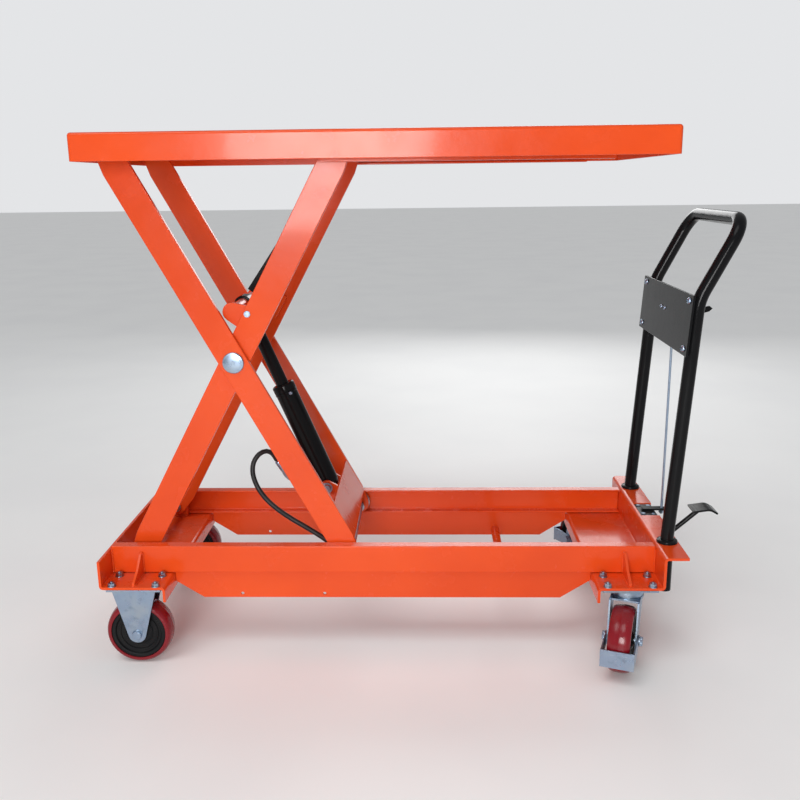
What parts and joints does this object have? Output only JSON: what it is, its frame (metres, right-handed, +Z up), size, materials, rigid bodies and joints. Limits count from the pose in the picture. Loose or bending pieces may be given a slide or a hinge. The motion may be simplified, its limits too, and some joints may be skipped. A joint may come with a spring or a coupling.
{
  "type": "scissor lift table",
  "caption": "Mobile foot-pumped scissor lift table with a rectangular steel platform, a push handle, a hydraulic cylinder and braked swivel casters.",
  "frame": {"origin": "on the floor under the middle of the whole table's outline, wheels standing at z = 0", "axes": "+X along the table towards the push handle, +Y across it to the far side, +Z up; the platform is drawn raised"},
  "size_m": [1.234, 0.6372, 0.99],
  "materials": {
    "orange_paint": "glossy powder coat",
    "black_paint": "glossy black paint",
    "zinc_plate": "bright zinc plating",
    "roller_steel": "turned steel",
    "red_urethane": "dark red polyurethane",
    "black_nylon": "moulded black",
    "hose_rubber": "black hose cover"
  },
  "bodies": {
    "base": {"rail_near": "orange_paint", "rail_far": "orange_paint", "skirt_near": "orange_paint", "skirt_far": "orange_paint", "pivot_lug_near": "orange_paint", "pivot_lug_far": "orange_paint", "skirt_cross_tube": "orange_paint", "fixed_end_plate": "orange_paint", "handle_end_plate": "orange_paint", "push_handle": "black_paint", "control_panel": "black_paint", "pump_body": "black_paint", "fixed_fork_near": "zinc_plate", "fixed_fork_far": "zinc_plate", "swivel_plate_near": "zinc_plate", "swivel_plate_far": "zinc_plate", "hose_run": "hose_rubber"},
    "fixed_wheel_near": {"tyre_fixed_near": "red_urethane", "hub_fixed_near": "black_nylon"},
    "fixed_wheel_far": {"tyre_fixed_far": "red_urethane", "hub_fixed_far": "black_nylon"},
    "swivel_fork_near": {"swivel_fork_near": "zinc_plate"},
    "swivel_fork_far": {"swivel_fork_far": "zinc_plate"},
    "swivel_wheel_near": {"tyre_swivel_near": "red_urethane", "hub_swivel_near": "black_nylon"},
    "swivel_wheel_far": {"tyre_swivel_far": "red_urethane", "hub_swivel_far": "black_nylon"},
    "brake_near": {"brake_pedal_near": "zinc_plate"},
    "brake_far": {"brake_pedal_far": "zinc_plate"},
    "inner_legs": {"inner_leg_near": "orange_paint", "inner_leg_far": "orange_paint", "foot_shaft": "zinc_plate", "upper_roller_shaft": "zinc_plate", "head_shaft_near": "orange_paint", "head_shaft_far": "orange_paint"},
    "outer_legs": {"outer_leg_near": "orange_paint", "outer_leg_far": "orange_paint", "centre_pin_near": "zinc_plate", "centre_pin_far": "zinc_plate", "lower_roller_shaft": "zinc_plate", "cylinder_beam": "orange_paint"},
    "lower_roller_near": {"lower_roller_near": "roller_steel"},
    "lower_roller_far": {"lower_roller_far": "roller_steel"},
    "upper_roller_near": {"upper_roller_near": "roller_steel"},
    "upper_roller_far": {"upper_roller_far": "roller_steel"},
    "safety_prop": {"safety_prop": "black_paint"},
    "platform": {"table_top": "orange_paint", "roller_track_near": "orange_paint", "roller_track_far": "orange_paint", "platform_lug_near": "orange_paint", "platform_lug_far": "orange_paint", "platform_shaft": "zinc_plate"},
    "cylinder_barrel": {"cylinder_barrel": "black_paint", "hose_loop": "hose_rubber"},
    "cylinder_rod": {"cylinder_rod": "black_paint"},
    "pump_pedal": {"pump_pedal": "black_paint"},
    "pump_plunger": {"pump_plunger": "zinc_plate"},
    "hand_lever": {"hand_lever": "black_paint"},
    "release_rod": {"release_rod": "zinc_plate"},
    "valve_lever": {"valve_lever": "black_paint"}
  },
  "joints": [
    {"name": "lift", "type": "hinge", "parent": "base", "child": "inner_legs", "pos_m": [-0.565, 0, 0.1905], "axis": [0, 1, 0], "range_deg": [0, 49.6], "deforming": ["hose_loop", "hose_run"]},
    {"name": "scissor_centre", "type": "hinge", "parent": "inner_legs", "child": "outer_legs", "pos_m": [-0.35583, 0, 0.5776], "axis": [0, 1, 0], "range_deg": [-99.4, 0.2]},
    {"name": "platform_hinge", "type": "hinge", "parent": "outer_legs", "child": "platform", "pos_m": [-0.565, 0, 0.9647], "axis": [0, 1, 0], "range_deg": [-0.1, 49.7]},
    {"name": "cylinder_foot", "type": "hinge", "parent": "outer_legs", "child": "cylinder_barrel", "pos_m": [-0.20037, 0, 0.28991], "axis": [0, 1, 0], "range_deg": [-0.1, 9.58]},
    {"name": "cylinder_stroke", "type": "slide", "parent": "cylinder_barrel", "child": "cylinder_rod", "axis": [-0.3834, 0, 0.9236], "range_m": [-0.1295, 0.0005]},
    {"name": "lower_roller_near_spin", "type": "hinge", "parent": "outer_legs", "child": "lower_roller_near", "pos_m": [-0.14665, -0.158, 0.1905], "axis": [0, 1, 0], "continuous": true},
    {"name": "lower_roller_far_spin", "type": "hinge", "parent": "outer_legs", "child": "lower_roller_far", "pos_m": [-0.14665, 0.158, 0.1905], "axis": [0, 1, 0], "continuous": true},
    {"name": "upper_roller_near_spin", "type": "hinge", "parent": "inner_legs", "child": "upper_roller_near", "pos_m": [-0.14665, -0.142, 0.9647], "axis": [0, 1, 0], "continuous": true},
    {"name": "upper_roller_far_spin", "type": "hinge", "parent": "inner_legs", "child": "upper_roller_far", "pos_m": [-0.14665, 0.142, 0.9647], "axis": [0, 1, 0], "continuous": true},
    {"name": "prop_swing", "type": "hinge", "parent": "inner_legs", "child": "safety_prop", "pos_m": [-0.16567, -0.1155, 0.92951], "axis": [0, -1, 0], "range_deg": [0, 32]},
    {"name": "fixed_wheel_near_spin", "type": "hinge", "parent": "base", "child": "fixed_wheel_near", "pos_m": [-0.5526, -0.207, 0.0635], "axis": [0, 1, 0], "continuous": true},
    {"name": "fixed_wheel_far_spin", "type": "hinge", "parent": "base", "child": "fixed_wheel_far", "pos_m": [-0.5526, 0.207, 0.0635], "axis": [0, 1, 0], "continuous": true},
    {"name": "swivel_near", "type": "hinge", "parent": "base", "child": "swivel_fork_near", "pos_m": [0.386, -0.207, 0.1413], "axis": [0, 0, 1], "continuous": true},
    {"name": "swivel_far", "type": "hinge", "parent": "base", "child": "swivel_fork_far", "pos_m": [0.386, 0.207, 0.1413], "axis": [0, 0, 1], "continuous": true},
    {"name": "swivel_wheel_near_spin", "type": "hinge", "parent": "swivel_fork_near", "child": "swivel_wheel_near", "pos_m": [0.373, -0.24271, 0.0635], "axis": [0.9397, -0.342, 0], "continuous": true},
    {"name": "swivel_wheel_far_spin", "type": "hinge", "parent": "swivel_fork_far", "child": "swivel_wheel_far", "pos_m": [0.373, 0.24271, 0.0635], "axis": [-0.9397, -0.342, 0], "continuous": true},
    {"name": "brake_near", "type": "hinge", "parent": "swivel_fork_near", "child": "brake_near", "pos_m": [0.373, -0.24271, 0.0635], "axis": [0.9397, -0.342, 0], "range_deg": [0, 12]},
    {"name": "brake_far", "type": "hinge", "parent": "swivel_fork_far", "child": "brake_far", "pos_m": [0.373, 0.24271, 0.0635], "axis": [-0.9397, -0.342, 0], "range_deg": [0, 12]},
    {"name": "pedal", "type": "hinge", "parent": "base", "child": "pump_pedal", "pos_m": [0.4965, 0.018, 0.1437], "axis": [0, 1, 0], "range_deg": [0, 25], "stiffness_Nm_per_rad": 1.5, "springref_deg": -34.38},
    {"name": "plunger_stroke", "type": "slide", "parent": "base", "child": "pump_plunger", "axis": [0, 0, -1], "range_m": [-0.0002, 0.0098]},
    {"name": "hand_lever", "type": "hinge", "parent": "base", "child": "hand_lever", "pos_m": [0.52, 0.011, 0.641], "axis": [0, 1, 0], "range_deg": [-0.2, 15.2]},
    {"name": "release_rod_lift", "type": "slide", "parent": "base", "child": "release_rod", "axis": [0, 0, 1], "range_m": [0, 0.00432], "stiffness_N_per_m": 1837, "springref_m": -0.00495},
    {"name": "valve_lever", "type": "hinge", "parent": "base", "child": "valve_lever", "pos_m": [0.468, 0.0175, 0.2247], "axis": [0, 1, 0], "range_deg": [-7.2, 0.2]}
  ],
  "couplings": [
    {"joint": "scissor_centre", "follows": "lift", "ratio": -2},
    {"joint": "platform_hinge", "follows": "lift", "ratio": 1},
    {"joint": "cylinder_foot", "follows": "lift", "ratio": 0.1911},
    {"joint": "cylinder_stroke", "follows": "lift", "m_per_rad": -0.14906},
    {"joint": "plunger_stroke", "follows": "pedal", "m_per_rad": 0.0217},
    {"joint": "hand_lever", "follows": "release_rod_lift", "rad_per_m": 60.606},
    {"joint": "valve_lever", "follows": "release_rod_lift", "rad_per_m": -28.17}
  ]
}
